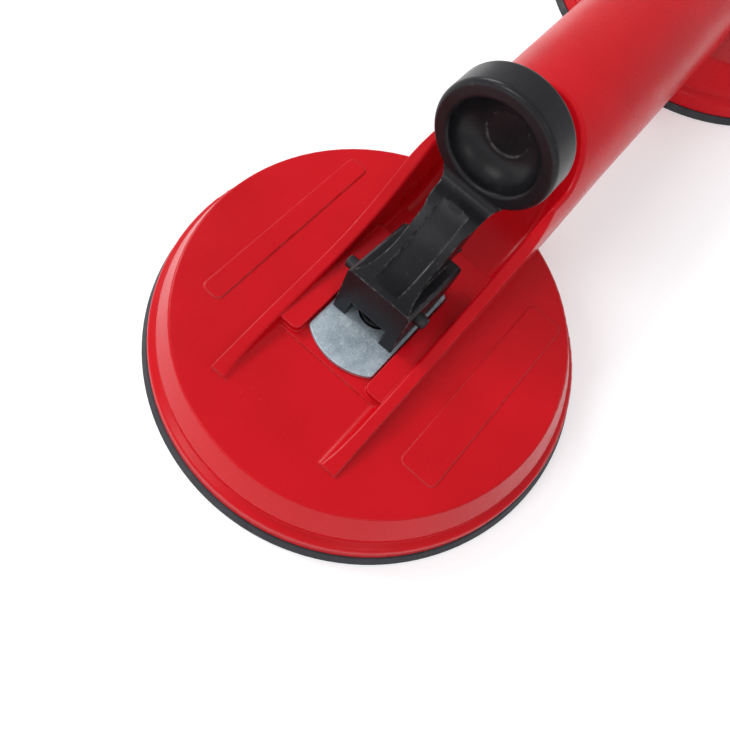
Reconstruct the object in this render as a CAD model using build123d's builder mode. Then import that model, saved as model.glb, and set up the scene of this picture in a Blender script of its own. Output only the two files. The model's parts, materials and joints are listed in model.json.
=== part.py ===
from build123d import *
import math
import os

# Double suction lifter: one moulded body with a suction cup at each end.
# Millimetres. +X along the handle, +Y across it, +Z up. The origin lies on the
# ground, under the middle of the handle.
# A profile is drawn in cup coordinates: local X runs from the cup's centre to
# the middle of the tool, and upright profiles have local Y as the height.

# ---- driving dimensions -------------------------------------------------
cup_spacing = 200.0
cup_radius = 59.0
handle_half_width = 19.0
handle_top = 50.0
handle_bottom = 27.0
wall = 3.2

# Cup shell
shell_top = 17.0
shell_edge_radius = cup_radius - 8.6
band_foot = (cup_radius - 4.8, 9.6)
groove_foot = (cup_radius - 4.5, 7.6)
bead_radius = cup_radius - 1.6
bead_top = 6.6
bead_draft = 0.6
shell_edge_rounding = 0.7
groove_rounding = 0.4
bead_rounding = 1.6
skirt_bottom = 2.0
skirt_thickness = 3.8
grip_rib_count = 12
grip_rib_inner_radius = cup_radius - 19.0
grip_rib_bottom = 10.0
grip_rib_width = 2.0

# Hollow underside of the handle
hollow_wall = 3.4
hollow_half_length = 36.5
hollow_web_count = 4
hollow_web_pitch = 16.0
hollow_web_thickness = 2.0
web_setback = 1.5

# Channel between the two tall ribs, and the finger scoop at its end
rib_thickness = 3.25
rib_outer_end = -38.0
rib_end_height = 0.7
rib_crest = ((-16, 20.7), (6, 23.2), (21, 29.0), (33, 36.5), (45, 44.6))
handle_crest_start = 58.0
handle_underside = ((76, 27.0), (66, 24.0), (57, 17.6), (49, 15.2))
bar_bottom = 15.2
channel_floor = 17.8
platform_end = -19.5
rail_end = -18.5
rail_top = 20.0
rail_corner = 1.8
scoop_start = 29.0
scoop_centre = 43.5
scoop_corner = 2.4
crest_rounding = 0.8

# Low grip panels on the shell
panel_length = 56.0
panel_shift = 3.0
panel_height = 0.3
panel_corner = 1.6
narrow_panel_width = 5.6
narrow_panel_offset = 32.8
wide_panel_width = 10.0
wide_panel_offset = 32.5

# Rubber pad
pad_lip_inner_radius = cup_radius - 9.0
pad_lip_depth = 0.8
pad_lip_bevel = 3.0
pad_edge_height = 0.6
pad_overhang = 0.4
pad_flange_gap = 0.5
pad_top = 5.6
pad_crown_radius = cup_radius - 9.5
pad_crown_bevel = (1.5, 1.2)

# Steel pieces
backing_radius = 32.0
backing_thickness = 1.6
tenon_radius = 3.5
tenon_head_radius = 5.5
tenon_head_depth = 1.4
stem_radius = 4.8
stem_clearance = 0.1
tongue_half_thickness = 3.2
tongue_bottom = 20.2
tongue_eye_half_width = 4.4
guide_radius = 8.5
guide_bottom = 12.6
wear_plate_thickness = 1.2
wear_plate_half_width = 10.0
wear_plate_side_length = 29.4
wear_plate_length = 36.2
wear_plate_bore_radius = 5.2
rail_gap = 0.5

# Pivot and lever
pin_radius = 1.6
pin_length = 24.0
pin_height = 28.8
pin_running_clearance = 0.05
heel_clearance = 0.15
lever_throw = 38.0
swing_margin = 14.0
cup_lift = 4.5
cheek_half_width = 9.2
cheek_gap_half_width = 5.4
tongue_clearance = 0.35
foot_toe = -7.0
foot_notch_top = -4.6
foot_ridge = (-4.0, 4.4)
foot_back = (17.5, 0.6)
foot_bevel = 0.8
arm_front = ((3.7, 4.6), (10.6, 6.8), (16.0, 10.6), (20.5, 13.3), (25.0, 16.5))
arm_back = ((15.5, 0.5), (18.6, 4.6), (22.5, 8.2), (27.0, 11.8), (29.5, 16.3))
arm_widths = ((-4.0, 8.3), (-1.0, 7.2), (3.0, 6.3), (8.0, 5.9), (14.0, 5.9), (18.0, 6.3), (21.0, 8.4), (24.0, 12.5))
neck_half_width = 6.1
neck_blend = 12.0
neck_low = 4.8
web_half_width = 3.7
web_depth = 0.7
mark_radius = 2.0
mark_depth = 0.15
mark_lean = 36.0
thumb_radius = 14.9
thumb_thickness = 8.0
thumb_front = 25.0
thumb_height = 28.5
dish_radius = 11.1
dish_floor_radius = 5.2
dish_depth = 6.0
dish_centre_step = 0.3
lever_rounding = 1.1
dish_rounding = 0.8

# ---- worked out from them -----------------------------------------------
channel_half_width = handle_half_width - rib_thickness
wear_plate_top = channel_floor + wear_plate_thickness
sole = pin_height - wear_plate_top - heel_clearance
lift_per_radian = cup_lift / math.radians(lever_throw)
scoop_end = scoop_centre + channel_half_width
handle_widest = 33.0
ends = {"a": -1, "b": 1}

os.makedirs("parts", exist_ok=True)


def level_plane(end, height=0.0):
    """Level plane over one cup, with local X to the middle of the tool."""
    centre = (end * cup_spacing / 2, 0, height)
    return Plane(origin=centre, x_dir=(-end, 0, 0), z_dir=(0, 0, 1))


def upright_plane(end, height=0.0):
    """Upright plane through one cup's centre line, with local Y as height."""
    centre = (end * cup_spacing / 2, 0, height)
    return Plane(origin=centre, x_dir=(-end, 0, 0), z_dir=(0, end, 0))


def cup_axis(end):
    """Vertical axis through the centre of one cup."""
    return Axis((end * cup_spacing / 2, 0, 0), (0, 0, 1))


def finish(piece, name):
    """Label a finished piece and write it to its own file."""
    piece.part.label = name
    export_step(piece.part, f"parts/{name}.step")


# ---- body moulding ------------------------------------------------------
def shell_section():
    """Half section of one cup shell, open below."""
    bead_corner = (bead_radius - bead_draft, bead_top)
    outer = [
        (0, shell_top),
        (shell_edge_radius, shell_top),
        band_foot,
        groove_foot,
        bead_corner,
        (bead_radius, skirt_bottom),
    ]
    inner = [
        (bead_radius - skirt_thickness, skirt_bottom),
        (groove_foot[0] - 2.2, bead_top),
        (band_foot[0] - wall, band_foot[1]),
        (shell_edge_radius - wall, shell_top - wall),
        (0, shell_top - wall),
    ]
    with BuildSketch() as profile:
        with BuildLine():
            Polyline(*outer, *inner, close=True)
        make_face()
        for corner, rounding in ((outer[1], shell_edge_rounding), (band_foot, groove_rounding),
                                 (bead_corner, bead_rounding)):
            fillet(profile.vertices().sort_by_distance(corner)[0], rounding)
    return profile.sketch


def bar_outline():
    """Side view of the ribs and the handle from one cup to the middle."""
    middle = cup_spacing / 2
    rib_tip = (rib_outer_end, shell_top + rib_end_height)
    crest_start = (handle_crest_start, handle_top)
    with BuildSketch() as profile:
        with BuildLine():
            Spline(rib_tip, *rib_crest, crest_start, tangents=((1, 0.16), (1, 0)))
            Polyline(crest_start, (middle, handle_top), (middle, handle_bottom), handle_underside[0])
            Spline(*handle_underside, tangents=((-1, 0), (-1, -0.1)))
            Polyline(handle_underside[-1], (rib_outer_end, bar_bottom), rib_tip)
        make_face()
    return profile.sketch


def handle_section(inset, bottom):
    """Cross-section of the handle, its outside moved inwards by inset."""
    half = handle_half_width - inset
    rise = handle_top - handle_widest - inset
    with BuildSketch() as profile:
        with Locations((0, handle_widest)):
            Ellipse(half, rise)
        with Locations((0, (handle_widest + bottom) / 2)):
            Rectangle(2 * half, handle_widest - bottom)
    return profile.sketch


def channel_plan():
    """Plan of the channel between the ribs, with its round inner end."""
    length = scoop_centre - 2 * rib_outer_end
    with BuildSketch() as profile:
        with Locations((scoop_centre - length / 2, 0)):
            Rectangle(length, 2 * channel_half_width)
        with Locations((scoop_centre, 0)):
            Circle(channel_half_width)
    return profile.sketch


def channel_floor_outline():
    """Side view of the space in the channel: flat floor, then the scoop."""
    start = 2 * rib_outer_end
    reach = scoop_end + 1
    ceiling = 2 * handle_top
    depth = handle_top + 2 - shell_top
    halfway = math.sqrt(0.5)
    scoop_middle = (scoop_start + (reach - scoop_start) * halfway, shell_top + depth * (1 - halfway))
    with BuildSketch() as profile:
        with BuildLine():
            Line((start, shell_top), (scoop_start, shell_top))
            Spline((scoop_start, shell_top), scoop_middle, (reach, shell_top + depth),
                   tangents=((1, 0), (0, 1)))
            Polyline((reach, shell_top + depth), (reach, ceiling), (start, ceiling), (start, shell_top))
        make_face()
    return profile.sketch


def channel_space(end):
    """The open space over one cup where its lever works."""
    with BuildPart() as space:
        with BuildSketch(level_plane(end, shell_top)):
            add(channel_plan())
        extrude(amount=handle_top)
        with BuildSketch(upright_plane(end)):
            add(channel_floor_outline())
        extrude(amount=handle_half_width, both=True, mode=Mode.INTERSECT)
        scoop = space.faces().filter_by(GeomType.EXTRUSION)
        scoop_sides = scoop.edges().filter_by(lambda edge: abs((edge @ 0.5).Y) > channel_half_width / 2 + 1)
        fillet(scoop_sides, scoop_corner)
    return space.part


def ribs_and_handle():
    """Ribs and handle in one bar, with a lever channel cut in each end."""
    channels = [channel_space(end) for end in ends.values()]
    with BuildPart() as blank:
        for end in ends.values():
            with BuildSketch(upright_plane(end)):
                add(bar_outline())
            extrude(amount=handle_half_width, both=True)
        with BuildSketch(Plane.YZ):
            add(handle_section(0, 0))
        extrude(amount=cup_spacing, both=True, mode=Mode.INTERSECT)
    with BuildPart() as bar:
        add(blank.part)
        add(channels, mode=Mode.SUBTRACT)
        cut_edges = bar.edges(Select.NEW)
        crest = cut_edges.filter_by(lambda edge: blank.part.shell().distance_to(edge @ 0.5) < 0.01)
        crest = crest.filter_by(lambda edge: (edge @ 0.5).Z > shell_top + 1)
        fillet(crest, crest_rounding)
    return bar.part


def handle_hollow():
    """The hollow moulded into the underside of the handle, with its webs left."""
    with BuildPart() as hollow:
        with BuildSketch(Plane.YZ):
            add(handle_section(hollow_wall, handle_bottom - 1))
        extrude(amount=hollow_half_length, both=True)
        with BuildSketch(Plane.XY.offset(handle_bottom + web_setback)):
            with GridLocations(hollow_web_pitch, 0, hollow_web_count, 1):
                Rectangle(hollow_web_thickness, 2 * handle_half_width)
        extrude(amount=handle_top, mode=Mode.SUBTRACT)
    return hollow.part


def platform(end):
    """Raised bed for the wear plate and the rails on each side of it."""
    bed_length = scoop_start - platform_end
    bed_middle = (scoop_start + platform_end) / 2
    rail_inner = wear_plate_half_width + rail_gap
    rail_width = channel_half_width + 1 - rail_inner
    with BuildPart() as piece:
        with BuildSketch(level_plane(end, shell_top - wall / 2)):
            with Locations((bed_middle, 0)):
                Rectangle(bed_length, 2 * channel_half_width + 1)
        extrude(amount=channel_floor - shell_top + wall / 2)
        with BuildSketch(level_plane(end, channel_floor - 1)):
            for side in (-1, 1):
                with Locations((0, side * (rail_inner + rail_width / 2))):
                    RectangleRounded(-2 * rail_end, rail_width, rail_corner)
        extrude(amount=rail_top - channel_floor + 1)
    return piece.part


def grip_panels(end):
    """Low raised panels on the shell, a narrow one and a wide one."""
    with BuildPart() as piece:
        with BuildSketch(level_plane(end, shell_top - panel_height)):
            for width, offset in ((narrow_panel_width, narrow_panel_offset),
                                  (wide_panel_width, -wide_panel_offset)):
                with Locations((panel_shift, offset)):
                    RectangleRounded(panel_length, width, panel_corner)
        extrude(amount=2 * panel_height)
    return piece.part


def grip_ribs(end):
    """Stiffening ribs under the shell, all round its edge."""
    rib_length = shell_edge_radius - 1 - grip_rib_inner_radius
    with BuildPart() as piece:
        with BuildSketch(level_plane(end, grip_rib_bottom)):
            with PolarLocations(grip_rib_inner_radius + rib_length / 2, grip_rib_count):
                Rectangle(rib_length, grip_rib_width)
        extrude(amount=shell_top - wall / 2 - grip_rib_bottom)
    return piece.part


def guide(end):
    """Boss under the bed that guides the lift stem."""
    with BuildPart() as piece:
        with BuildSketch(level_plane(end, guide_bottom)):
            Circle(guide_radius)
        extrude(amount=channel_floor - guide_bottom)
    return piece.part


def make_body():
    """One-piece body moulding: two cup shells, ribs and handle."""
    bar = ribs_and_handle()
    hollow = handle_hollow()
    with BuildPart() as body:
        for end in ends.values():
            with BuildSketch(upright_plane(end)):
                add(shell_section())
            revolve(axis=cup_axis(end))
        add(bar)
        add(hollow, mode=Mode.SUBTRACT)
        for end in ends.values():
            add([platform(end), grip_panels(end), grip_ribs(end), guide(end)])
            with BuildSketch(level_plane(end, guide_bottom)):
                Circle(stem_radius + stem_clearance)
            extrude(amount=channel_floor, mode=Mode.SUBTRACT)
    finish(body, "body")


# ---- rubber pad and lifting gear ----------------------------------------
def make_rubber_pad(end, name):
    """Rubber sealing pad, bonded under its backing plate."""
    lip_top = skirt_bottom
    outer = bead_radius + pad_overhang
    profile = [
        (0, pad_lip_depth),
        (pad_lip_inner_radius, pad_lip_depth),
        (pad_lip_inner_radius + pad_lip_bevel, 0),
        (cup_radius, 0),
        (cup_radius, pad_edge_height),
        (outer, lip_top),
        (bead_radius - skirt_thickness - pad_flange_gap, lip_top),
        (pad_crown_radius + pad_crown_bevel[0], pad_top - pad_crown_bevel[1]),
        (pad_crown_radius, pad_top),
        (0, pad_top),
    ]
    with BuildPart() as pad:
        with BuildSketch(upright_plane(end)):
            with BuildLine():
                Polyline(*profile, close=True)
            make_face()
        revolve(axis=cup_axis(end))
        with BuildSketch(level_plane(end, pad_top - tenon_head_depth)):
            Circle(tenon_head_radius)
        extrude(amount=2 * tenon_head_depth, mode=Mode.SUBTRACT)
    finish(pad, name)


def make_backing_plate(end, name):
    """Steel disc bonded to the pad, with a hole for the stem's tenon."""
    with BuildPart() as plate:
        with BuildSketch(level_plane(end, pad_top)):
            Circle(backing_radius)
            Circle(tenon_radius, mode=Mode.SUBTRACT)
        extrude(amount=backing_thickness)
        chamfer(plate.faces().sort_by(Axis.Z)[-1].outer_wire().edges(), 0.4)
    finish(plate, name)


def make_lift_stem(end, name):
    """Stem that lifts the backing plate: riveted tenon, shaft and flat tongue."""
    shoulder = pad_top + backing_thickness
    with BuildPart() as stem:
        with BuildSketch(level_plane(end, pad_top - tenon_head_depth)):
            Circle(tenon_head_radius)
        extrude(amount=tenon_head_depth)
        with BuildSketch(level_plane(end, pad_top)):
            Circle(tenon_radius)
        extrude(amount=backing_thickness)
        with BuildSketch(level_plane(end, shoulder)):
            Circle(stem_radius)
        extrude(amount=tongue_bottom - shoulder)
        with BuildSketch(level_plane(end, tongue_bottom)):
            Circle(stem_radius)
            Rectangle(2 * tongue_half_thickness, 2 * stem_radius, mode=Mode.INTERSECT)
        extrude(amount=pin_height - tongue_bottom)
        with BuildSketch(upright_plane(end)):
            with Locations((0, pin_height)):
                Circle(tongue_half_thickness)
        extrude(amount=tongue_eye_half_width, both=True)
        with BuildSketch(upright_plane(end)):
            with Locations((0, pin_height)):
                Circle(pin_radius)
        extrude(amount=2 * stem_radius, both=True, mode=Mode.SUBTRACT)
    finish(stem, name)


def make_wear_plate(end, name):
    """Steel plate that the lever's heel bears on, with bowed ends."""
    corner = (wear_plate_side_length / 2, wear_plate_half_width)
    apex = (wear_plate_length / 2, 0)
    with BuildPart() as plate:
        with BuildSketch(level_plane(end, channel_floor)):
            with BuildLine():
                ThreePointArc(corner, apex, (corner[0], -corner[1]))
                Line((corner[0], -corner[1]), (-corner[0], -corner[1]))
                ThreePointArc((-corner[0], -corner[1]), (-apex[0], 0), (-corner[0], corner[1]))
                Line((-corner[0], corner[1]), corner)
            make_face()
            Circle(wear_plate_bore_radius, mode=Mode.SUBTRACT)
        extrude(amount=wear_plate_thickness)
        fillet(plate.edges().filter_by(Axis.Z), 0.8)
        fillet(plate.faces().sort_by(Axis.Z)[-1].outer_wire().edges(), 0.25)
    finish(plate, name)


def make_pivot_pin(end, name):
    """Headless pin through the cheeks of the lever and the eye of the stem."""
    with BuildPart() as pin:
        with BuildSketch(upright_plane(end)):
            with Locations((0, pin_height)):
                Circle(pin_radius)
        extrude(amount=pin_length / 2, both=True)
        chamfer(pin.edges().filter_by(GeomType.CIRCLE), 0.4)
    finish(pin, name)


# ---- lever --------------------------------------------------------------
def heel_point(turn):
    """Point of the heel that bears on the wear plate after a turn in radians."""
    height = sole + lift_per_radian * turn
    along = lift_per_radian * math.cos(turn) + height * math.sin(turn)
    up = lift_per_radian * math.sin(turn) - height * math.cos(turn)
    return along, up


def foot_outline():
    """Side view of the lever's foot: front, top, rounded heel and flat sole."""
    throw = math.radians(lever_throw)
    steps = 5
    heel = [heel_point(throw * step / (steps - 1)) for step in range(steps)]
    end_direction = (math.cos(throw), math.sin(throw))
    with BuildSketch() as profile:
        with BuildLine():
            Polyline(heel[0], (foot_toe, -sole), foot_ridge, foot_back)
            Spline(*heel, tangents=((1, 0), end_direction))
            TangentArc(heel[-1], foot_back, tangent=end_direction)
        make_face()
    return profile.sketch


def arm_outline():
    """Side view of the arm, from the foot to its root inside the thumb disc."""
    with BuildSketch() as profile:
        with BuildLine():
            Spline(foot_ridge, *arm_front, tangents=((1, -0.05), (0.12, 1)))
            Line(arm_front[-1], arm_back[-1])
            Spline(*reversed(arm_back), tangents=((-0.1, -1), (-0.4, -1)))
            Polyline(arm_back[0], (0, -1), foot_ridge)
        make_face()
    return profile.sketch


def web_outline():
    """Side view of the shallow hollow along the arm's front."""
    lowered = [(along, up - web_depth) for along, up in arm_front[:3]]
    start = (foot_ridge[0] + 1, foot_ridge[1])
    finish_point = arm_front[3]
    lift = 4 * web_depth
    with BuildSketch() as profile:
        with BuildLine():
            Spline(start, *lowered, finish_point, tangents=((1, -0.1), (0.7, 0.7)))
            Polyline(finish_point, (finish_point[0], finish_point[1] + lift), (start[0], finish_point[1] + lift), start)
        make_face()
    return profile.sketch


def arm_plan():
    """Plan of the arm: wide over the foot, then narrow up to the disc."""
    reach = thumb_front + thumb_thickness + 1
    wide = thumb_radius + 1
    left = arm_widths
    right = [(along, -half) for along, half in reversed(arm_widths)]
    with BuildSketch() as profile:
        with BuildLine():
            Spline(*left, tangents=((1, -0.3), (0.5, 1)))
            Polyline(left[-1], (left[-1][0], wide), (reach, wide),
                     (reach, -wide), (right[0][0], -wide), right[0])
            Spline(*right, tangents=((-0.5, 1), (-1, -0.3)))
            Line(right[-1], left[0])
        make_face()
    return profile.sketch


def neck_outline():
    """Front view of the neck and its blends into the disc."""
    drop = 2 * foot_ridge[0]
    with BuildSketch() as profile:
        with Locations((0, thumb_height)):
            Circle(thumb_radius - lever_rounding / 2)
        with Locations((0, thumb_height / 2)):
            Rectangle(2 * neck_half_width, thumb_height)
        corners = profile.vertices().filter_by_position(Axis.Y, 1, thumb_height - 1)
        fillet(corners, neck_blend)
        with Locations((0, (neck_low + drop) / 2)):
            Rectangle(2 * cheek_half_width, neck_low - drop)
    return profile.sketch


def tongue_space():
    """Side view of the gap between the cheeks where the stem's tongue swings."""
    reach = 2 * sole
    half = tongue_half_thickness + tongue_clearance
    swing = math.radians(lever_throw + swing_margin)
    along = (math.sin(swing), -math.cos(swing))
    across = (math.cos(swing), math.sin(swing))
    far_side = (half * across[0], half * across[1])
    far_end = (far_side[0] + reach * along[0], far_side[1] + reach * along[1])
    with BuildSketch() as profile:
        Circle(half)
        with BuildLine():
            Polyline((-half, 0), (-half, -reach), far_end, far_side, close=True)
        make_face()
    return profile.sketch


def dish_section():
    """Half section of the thumb dish: curved side, flat floor, small sunk centre."""
    front = thumb_front
    floor = thumb_front + dish_depth
    with BuildSketch() as profile:
        with BuildLine():
            Line((front - 1, thumb_height), (front - 1, thumb_height + dish_radius))
            Line((front - 1, thumb_height + dish_radius), (front, thumb_height + dish_radius))
            ThreePointArc((front, thumb_height + dish_radius),
                          (front + 0.7 * dish_depth, thumb_height + 0.84 * dish_radius),
                          (floor, thumb_height + dish_floor_radius))
            Polyline((floor, thumb_height + dish_floor_radius),
                     (floor + dish_centre_step, thumb_height + dish_floor_radius),
                     (floor + dish_centre_step, thumb_height), (front - 1, thumb_height))
        make_face()
    return profile.sketch


def arm(end):
    """The arm without the disc: side view, plan and front view crossed."""
    side_view = upright_plane(end, pin_height)
    front_view = Plane(origin=side_view.origin, x_dir=(0, -end, 0), z_dir=(-end, 0, 0))
    with BuildPart() as piece:
        with BuildSketch(side_view):
            add(arm_outline())
        extrude(amount=thumb_radius + 1, both=True)
        with BuildSketch(level_plane(end, pin_height)):
            add(arm_plan())
        extrude(amount=2 * thumb_height, both=True, mode=Mode.INTERSECT)
        with BuildSketch(front_view):
            add(neck_outline())
        extrude(amount=2 * thumb_height, both=True, mode=Mode.INTERSECT)
        with BuildSketch(side_view):
            add(web_outline())
        extrude(amount=web_half_width, both=True, mode=Mode.SUBTRACT)
    return piece.part


def thumb_disc(end):
    """The thumb disc with its rounded rims and its dish."""
    front = upright_plane(end, pin_height + thumb_height).origin + Vector(-end * thumb_front, 0, 0)
    disc_plane = Plane(origin=front, x_dir=(0, 1, 0), z_dir=(-end, 0, 0))
    with BuildPart() as disc:
        with BuildSketch(disc_plane):
            Circle(thumb_radius)
        extrude(amount=thumb_thickness)
        fillet(disc.edges().filter_by(GeomType.CIRCLE), lever_rounding)
        with BuildSketch(upright_plane(end, pin_height)):
            add(dish_section())
        revolve(axis=Axis(front, (-end, 0, 0)), mode=Mode.SUBTRACT)
        rims = disc.edges().filter_by(GeomType.CIRCLE)
        fillet(rims.filter_by(lambda edge: abs(edge.radius - dish_radius) < 0.01), dish_rounding)
    return disc.part


def foot(end):
    """The foot without its gap: a block with bevelled top edges."""
    with BuildPart() as piece:
        with BuildSketch(upright_plane(end, pin_height)):
            add(foot_outline())
        extrude(amount=cheek_half_width, both=True)
        top = piece.faces().sort_by(Axis.Z)[-1]
        chamfer(top.edges().filter_by(lambda edge: abs((edge @ 0.5).Y) > cheek_half_width / 2), foot_bevel)
    return piece.part


def make_lever(end, name):
    """Locking lever: two cheeks joined over the pin, an arm and a thumb disc."""
    pivot = upright_plane(end, pin_height)
    lean = math.radians(mark_lean)
    mark_centre = pivot.from_local_coords(Vector(*arm_front[3]))
    mark_plane = Plane(origin=mark_centre, x_dir=(0, 1, 0), z_dir=(end * math.sin(lean), 0, math.cos(lean)))
    with BuildPart() as lever:
        add([foot(end), arm(end), thumb_disc(end)])
        with BuildSketch(pivot):
            add(tongue_space())
        extrude(amount=cheek_gap_half_width, both=True, mode=Mode.SUBTRACT)
        with BuildSketch(pivot):
            with Locations((2 * foot_toe, (foot_notch_top - 2 * sole) / 2)):
                Rectangle(-4 * foot_toe, foot_notch_top + 2 * sole)
        extrude(amount=cheek_gap_half_width, both=True, mode=Mode.SUBTRACT)
        with BuildSketch(pivot):
            Circle(pin_radius + pin_running_clearance)
        extrude(amount=pin_length, both=True, mode=Mode.SUBTRACT)
        with BuildSketch(mark_plane):
            Circle(mark_radius)
        extrude(amount=mark_depth, both=True, mode=Mode.SUBTRACT)
    finish(lever, name)


make_body()
for letter, end in ends.items():
    make_rubber_pad(end, f"rubber_pad_{letter}")
    make_backing_plate(end, f"backing_plate_{letter}")
    make_lift_stem(end, f"lift_stem_{letter}")
    make_wear_plate(end, f"wear_plate_{letter}")
    make_lever(end, f"lever_{letter}")
    make_pivot_pin(end, f"pivot_pin_{letter}")
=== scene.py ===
import json
import math

import bpy
from mathutils import Matrix, Vector


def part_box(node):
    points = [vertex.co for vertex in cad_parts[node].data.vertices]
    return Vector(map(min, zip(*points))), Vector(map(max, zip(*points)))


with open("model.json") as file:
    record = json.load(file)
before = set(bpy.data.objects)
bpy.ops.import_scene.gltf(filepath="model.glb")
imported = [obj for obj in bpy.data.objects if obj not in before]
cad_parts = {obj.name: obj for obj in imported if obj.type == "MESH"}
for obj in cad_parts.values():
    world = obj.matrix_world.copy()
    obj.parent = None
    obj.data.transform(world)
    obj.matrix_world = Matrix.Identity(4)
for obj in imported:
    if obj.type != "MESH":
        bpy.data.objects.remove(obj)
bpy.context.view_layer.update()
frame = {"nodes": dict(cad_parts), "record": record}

MM = 0.001

# The camera looks down on cup a. Angles are in degrees, lengths in metres.
CAMERA_AZIMUTH = 197.62
CAMERA_ELEVATION = 67.45
CAMERA_ROLL = 24.64
CAMERA_DISTANCE = 167.04 * MM
CAMERA_LENS = 30.355
CAMERA_CLIP_START = 5 * MM
TARGET_FROM_CUP = Vector((-6.16, -4.59, 0)) * MM

# Stage. The floor is a square with this side in metres.
FLOOR_SIZE = 6
FLOOR_GLOW = 0.18
ROOM_COLOUR = (0.97, 0.98, 1.0, 1)
ROOM_STRENGTH = 0.78
# Lamps: name, place from cup a in metres, size in metres, power in watts.
LAMPS = (
    ("key", (0.1, 1.1, 0.9), 0.5, 9.5),
    ("left", (-0.9, 0.5, 0.8), 0.5, 4.0),
    ("front", (-0.8, -0.9, 0.9), 0.35, 1.6),
)

# Rays that find the rounded edges.
BEVEL_SAMPLES = 8
# Cosine between the rounded and the true normal: fully worn, and not worn.
WORN_COSINE = 0.90
CLEAN_COSINE = 0.995


# ---- small helpers ------------------------------------------------------
def cup_a_centre():
    """Centre of cup a on the ground, from its rubber pad."""
    low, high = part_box("rubber_pad_a")
    return Vector(((low[0] + high[0]) / 2, (low[1] + high[1]) / 2, 0))


class Material:
    """A node material with short calls for the nodes used here."""

    def __init__(self, name):
        self.material = bpy.data.materials.new(name)
        self.material.use_nodes = True
        self.tree = self.material.node_tree
        self.shader = self.tree.nodes["Principled BSDF"]
        self.coordinates = self.tree.nodes.new("ShaderNodeTexCoord").outputs["Object"]

    def link(self, source, target):
        self.tree.links.new(source, target)

    def set(self, **values):
        for name, value in values.items():
            self.shader.inputs[name.replace("_", " ")].default_value = value

    def noise(self, scale, detail=4.0, roughness=0.55, stretch=(1, 1, 1)):
        """Noise value over the object, about 0 to 1, scale in lumps per metre."""
        mapping = self.tree.nodes.new("ShaderNodeMapping")
        mapping.inputs["Scale"].default_value = stretch
        self.link(self.coordinates, mapping.inputs["Vector"])
        texture = self.tree.nodes.new("ShaderNodeTexNoise")
        texture.inputs["Scale"].default_value = scale
        texture.inputs["Detail"].default_value = detail
        texture.inputs["Roughness"].default_value = roughness
        self.link(mapping.outputs["Vector"], texture.inputs["Vector"])
        return texture.outputs["Fac"]

    def cells(self, scale):
        """Distance to the nearest of many scattered points."""
        texture = self.tree.nodes.new("ShaderNodeTexVoronoi")
        texture.inputs["Scale"].default_value = scale
        self.link(self.coordinates, texture.inputs["Vector"])
        return texture.outputs["Distance"]

    def ramp(self, value, *stops):
        """Colour ramp; each stop is (position, grey or colour)."""
        node = self.tree.nodes.new("ShaderNodeValToRGB")
        points = node.color_ramp.elements
        while len(points) < len(stops):
            points.new(0.5)
        for point, (position, colour) in zip(points, stops):
            point.position = position
            red, green, blue = colour if isinstance(colour, tuple) else (colour, colour, colour)
            point.color = (red, green, blue, 1)
        self.link(value, node.inputs["Fac"])
        return node.outputs["Color"]

    def mix(self, factor, first, second):
        """Blend of two colours; each is an output or an RGB value."""
        node = self.tree.nodes.new("ShaderNodeMix")
        node.data_type = "RGBA"
        self.link(factor, node.inputs["Factor"])
        for value, socket in ((first, node.inputs[6]), (second, node.inputs[7])):
            if isinstance(value, tuple):
                socket.default_value = (*value, 1)
            else:
                self.link(value, socket)
        return node.outputs[2]

    def math(self, operation, first, second):
        node = self.tree.nodes.new("ShaderNodeMath")
        node.operation = operation
        node.use_clamp = True
        for value, socket in ((first, node.inputs[0]), (second, node.inputs[1])):
            if isinstance(value, (int, float)):
                socket.default_value = value
            else:
                self.link(value, socket)
        return node.outputs[0]

    def rounded_normal(self, width):
        """Surface normal with the sharp edges rounded to that radius."""
        bevel = self.tree.nodes.new("ShaderNodeBevel")
        bevel.samples = BEVEL_SAMPLES
        bevel.inputs["Radius"].default_value = width
        return bevel.outputs["Normal"]

    def soft_edges(self, width):
        self.link(self.rounded_normal(width), self.shader.inputs["Normal"])

    def edge_wear(self, width):
        """1 near the object's edges, 0 on its flat faces."""
        geometry = self.tree.nodes.new("ShaderNodeNewGeometry")
        dot = self.tree.nodes.new("ShaderNodeVectorMath")
        dot.operation = "DOT_PRODUCT"
        self.link(self.rounded_normal(width), dot.inputs[0])
        self.link(geometry.outputs["Normal"], dot.inputs[1])
        return self.ramp(dot.outputs["Value"], (WORN_COSINE, 1.0), (CLEAN_COSINE, 0.0))

    def bump(self, height, distance, strength=1.0):
        """Add a height to the surface, in metres."""
        node = self.tree.nodes.new("ShaderNodeBump")
        node.inputs["Strength"].default_value = strength
        node.inputs["Distance"].default_value = distance
        self.link(height, node.inputs["Height"])
        old = self.shader.inputs["Normal"].links
        if old:
            self.link(old[0].from_socket, node.inputs["Normal"])
        self.link(node.outputs["Normal"], self.shader.inputs["Normal"])

    def colour(self, value):
        self.link(value, self.shader.inputs["Base Color"])

    def roughness(self, value):
        self.link(value, self.shader.inputs["Roughness"])


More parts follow.
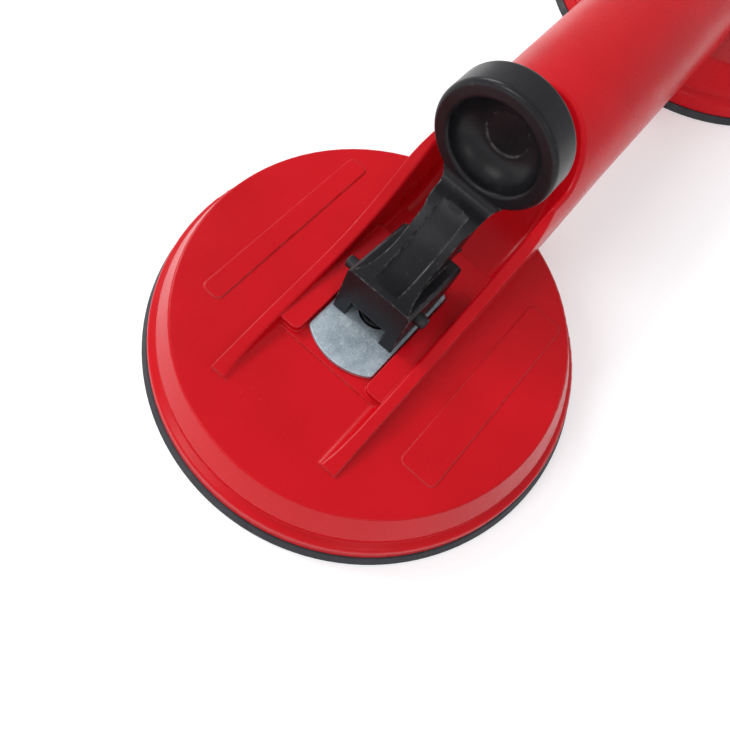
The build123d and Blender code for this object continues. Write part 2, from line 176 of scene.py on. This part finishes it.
# ---- materials ----------------------------------------------------------
def red_moulding():
    """Satin red ABS with faint clouding, pale flecks, worn edges and fine grain."""
    red = Material("red_moulding")
    red.soft_edges(0.5 * MM)
    deep_red = (0.45, 0.0018, 0.006)
    light_red = (0.53, 0.0032, 0.009)
    clouds = red.ramp(red.noise(24, 5), (0.35, deep_red), (0.65, light_red))
    specks = red.ramp(red.cells(1100), (0.03, 1.0), (0.09, 0.0))
    sparse = red.ramp(red.noise(55, 3), (0.54, 0.0), (0.66, 1.0))
    flecks = red.math("MULTIPLY", specks, sparse)
    flecks = red.math("MULTIPLY", flecks, 0.5)
    worn = red.math("MULTIPLY", red.edge_wear(0.4 * MM), 0.18)
    worn = red.math("MULTIPLY", worn, red.ramp(red.noise(240, 4), (0.4, 0.3), (0.6, 1.0)))
    spoiled = red.math("ADD", flecks, worn)
    scuffed_red = (0.72, 0.20, 0.21)
    red.colour(red.mix(spoiled, clouds, scuffed_red))
    red.roughness(red.ramp(red.noise(90, 6), (0.3, 0.24), (0.7, 0.33)))
    red.bump(red.noise(1300, 3), 0.02 * MM, 0.2)
    red.bump(red.noise(30, 2), 0.4 * MM, 0.1)
    red.set(IOR=1.5, Specular_IOR_Level=0.14)
    return red.material


def black_plastic():
    """Black satin plastic, scuffed grey along its edges and dusty in places."""
    black = Material("black_plastic")
    black.soft_edges(0.6 * MM)
    deep_black = (0.004, 0.004, 0.005)
    faded_black = (0.010, 0.009, 0.011)
    tone = black.ramp(black.noise(70, 5), (0.3, deep_black), (0.7, faded_black))
    patches = black.ramp(black.noise(520, 6, 0.75), (0.47, 0.0), (0.60, 1.0))
    wear = black.math("MULTIPLY", black.edge_wear(0.6 * MM), patches)
    wear = black.math("MULTIPLY", wear, 0.45)
    dust = black.ramp(black.noise(900, 4, 0.7), (0.62, 0.0), (0.82, 0.25))
    spoiled = black.math("ADD", wear, dust)
    dust_grey = (0.20, 0.175, 0.175)
    black.colour(black.mix(spoiled, tone, dust_grey))
    black.roughness(black.ramp(black.noise(150, 5), (0.3, 0.26), (0.7, 0.40)))
    black.bump(black.noise(900, 4), 0.04 * MM, 0.3)
    black.bump(black.noise(220, 3), 0.12 * MM, 0.15)
    black.set(Specular_IOR_Level=0.24)
    return black.material


def black_rubber():
    """Matt blue-black rubber with a slight bloom."""
    rubber = Material("black_rubber")
    rubber.soft_edges(0.4 * MM)
    fresh = (0.009, 0.010, 0.014)
    bloomed = (0.018, 0.019, 0.026)
    rubber.colour(rubber.ramp(rubber.noise(120, 5), (0.3, fresh), (0.7, bloomed)))
    rubber.roughness(rubber.ramp(rubber.noise(200, 4), (0.3, 0.5), (0.7, 0.68)))
    rubber.bump(rubber.noise(1500, 3), 0.03 * MM, 0.3)
    return rubber.material


def zinc_plate():
    """Zinc-plated steel, mottled grey-blue with a fine spangle."""
    zinc = Material("zinc_plate")
    zinc.soft_edges(0.3 * MM)
    dull_zinc = (0.25, 0.31, 0.36)
    bright_zinc = (0.48, 0.55, 0.60)
    cloud = zinc.ramp(zinc.noise(150, 6, 0.65), (0.35, dull_zinc), (0.68, bright_zinc))
    fleck = zinc.ramp(zinc.noise(2600, 3), (0.56, 0.0), (0.72, 0.6))
    spangle = (0.66, 0.70, 0.69)
    zinc.colour(zinc.mix(fleck, cloud, spangle))
    zinc.roughness(zinc.ramp(zinc.noise(1200, 4), (0.3, 0.40), (0.7, 0.60)))
    zinc.bump(zinc.noise(1800, 4), 0.05 * MM, 0.6)
    zinc.set(Metallic=0.7)
    return zinc.material


def dark_steel():
    """Blackened, oiled steel."""
    steel = Material("dark_steel")
    steel.soft_edges(0.2 * MM)
    blackened = (0.012, 0.012, 0.014)
    oiled = (0.035, 0.035, 0.038)
    steel.colour(steel.ramp(steel.noise(300, 5), (0.35, blackened), (0.7, oiled)))
    steel.roughness(steel.ramp(steel.noise(500, 4), (0.3, 0.34), (0.7, 0.5)))
    steel.bump(steel.noise(1600, 3), 0.03 * MM, 0.3)
    steel.set(Metallic=0.6)
    return steel.material


def plain_steel():
    """Cold-rolled steel with fine rolling lines."""
    steel = Material("plain_steel")
    steel.soft_edges(0.2 * MM)
    dull_steel = (0.36, 0.36, 0.37)
    bright_steel = (0.50, 0.50, 0.51)
    steel.colour(steel.ramp(steel.noise(90, 5), (0.3, dull_steel), (0.7, bright_steel)))
    steel.roughness(steel.ramp(steel.noise(60, 6, stretch=(1, 40, 1)), (0.3, 0.30), (0.7, 0.46)))
    steel.bump(steel.noise(60, 4, stretch=(1, 60, 1)), 0.03 * MM, 0.4)
    steel.set(Metallic=1.0)
    return steel.material


def dress_cad_nodes():
    """Give each CAD node the finish of its material slot."""
    finishes = {
        "red_moulding": red_moulding(),
        "black_plastic": black_plastic(),
        "black_rubber": black_rubber(),
        "zinc_plate": zinc_plate(),
        "dark_steel": dark_steel(),
        "plain_steel": plain_steel(),
    }
    slots = {part["node"]: part["material_slot"] for part in frame["record"]["subparts"]}
    for name, node in frame["nodes"].items():
        for slot in node.material_slots:
            slot.material = finishes[slots[name]]


# ---- stage --------------------------------------------------------------
def make_floor():
    """Plain pale floor under the object."""
    bpy.ops.mesh.primitive_plane_add(size=FLOOR_SIZE)
    floor = bpy.context.object
    floor.name = "floor"
    pale = Material("pale_floor")
    pale.colour(pale.ramp(pale.noise(3, 2), (0.3, 0.93), (0.7, 0.95)))
    pale.set(Roughness=0.9, Specular_IOR_Level=0.0, Emission_Strength=FLOOR_GLOW)
    pale.set(Emission_Color=(1, 1, 1, 1))
    floor.data.materials.append(pale.material)


def area_light(name, place, aim, size, power):
    """Round soft lamp at a place, turned to its aim."""
    light = bpy.data.lights.new(name, "AREA")
    light.shape = "DISK"
    light.size = size
    light.energy = power
    lamp = bpy.data.objects.new(name, light)
    lamp.location = place
    lamp.rotation_euler = (Vector(aim) - Vector(place)).to_track_quat("-Z", "Y").to_euler()
    bpy.context.scene.collection.objects.link(lamp)


def make_lights():
    """A pale, even room and the three lamps, all turned to cup a."""
    world = bpy.data.worlds.new("studio")
    world.use_nodes = True
    background = world.node_tree.nodes["Background"]
    background.inputs["Color"].default_value = ROOM_COLOUR
    background.inputs["Strength"].default_value = ROOM_STRENGTH
    bpy.context.scene.world = world
    middle = cup_a_centre()
    for name, offset, size, power in LAMPS:
        area_light(name, middle + Vector(offset), middle, size, power)
    bpy.context.scene.view_settings.view_transform = "Standard"


def make_camera():
    """Camera over cup a, rolled about its line of sight as in the photo."""
    azimuth = math.radians(CAMERA_AZIMUTH)
    elevation = math.radians(CAMERA_ELEVATION)
    roll = math.radians(CAMERA_ROLL)
    back = Vector((math.cos(azimuth) * math.cos(elevation),
                   math.sin(azimuth) * math.cos(elevation), math.sin(elevation)))
    side = Vector((0, 0, 1)).cross(back).normalized()
    up = back.cross(side)
    right = math.cos(roll) * side + math.sin(roll) * up
    top = -math.sin(roll) * side + math.cos(roll) * up
    place = cup_a_centre() + TARGET_FROM_CUP + CAMERA_DISTANCE * back
    turn = Matrix((right, top, back)).transposed()
    lens = bpy.data.cameras.new("camera")
    lens.lens = CAMERA_LENS
    lens.clip_start = CAMERA_CLIP_START
    camera = bpy.data.objects.new("camera", lens)
    camera.matrix_world = Matrix.Translation(place) @ turn.to_4x4()
    bpy.context.scene.collection.objects.link(camera)
    bpy.context.scene.camera = camera


dress_cad_nodes()
make_floor()
make_lights()
make_camera()
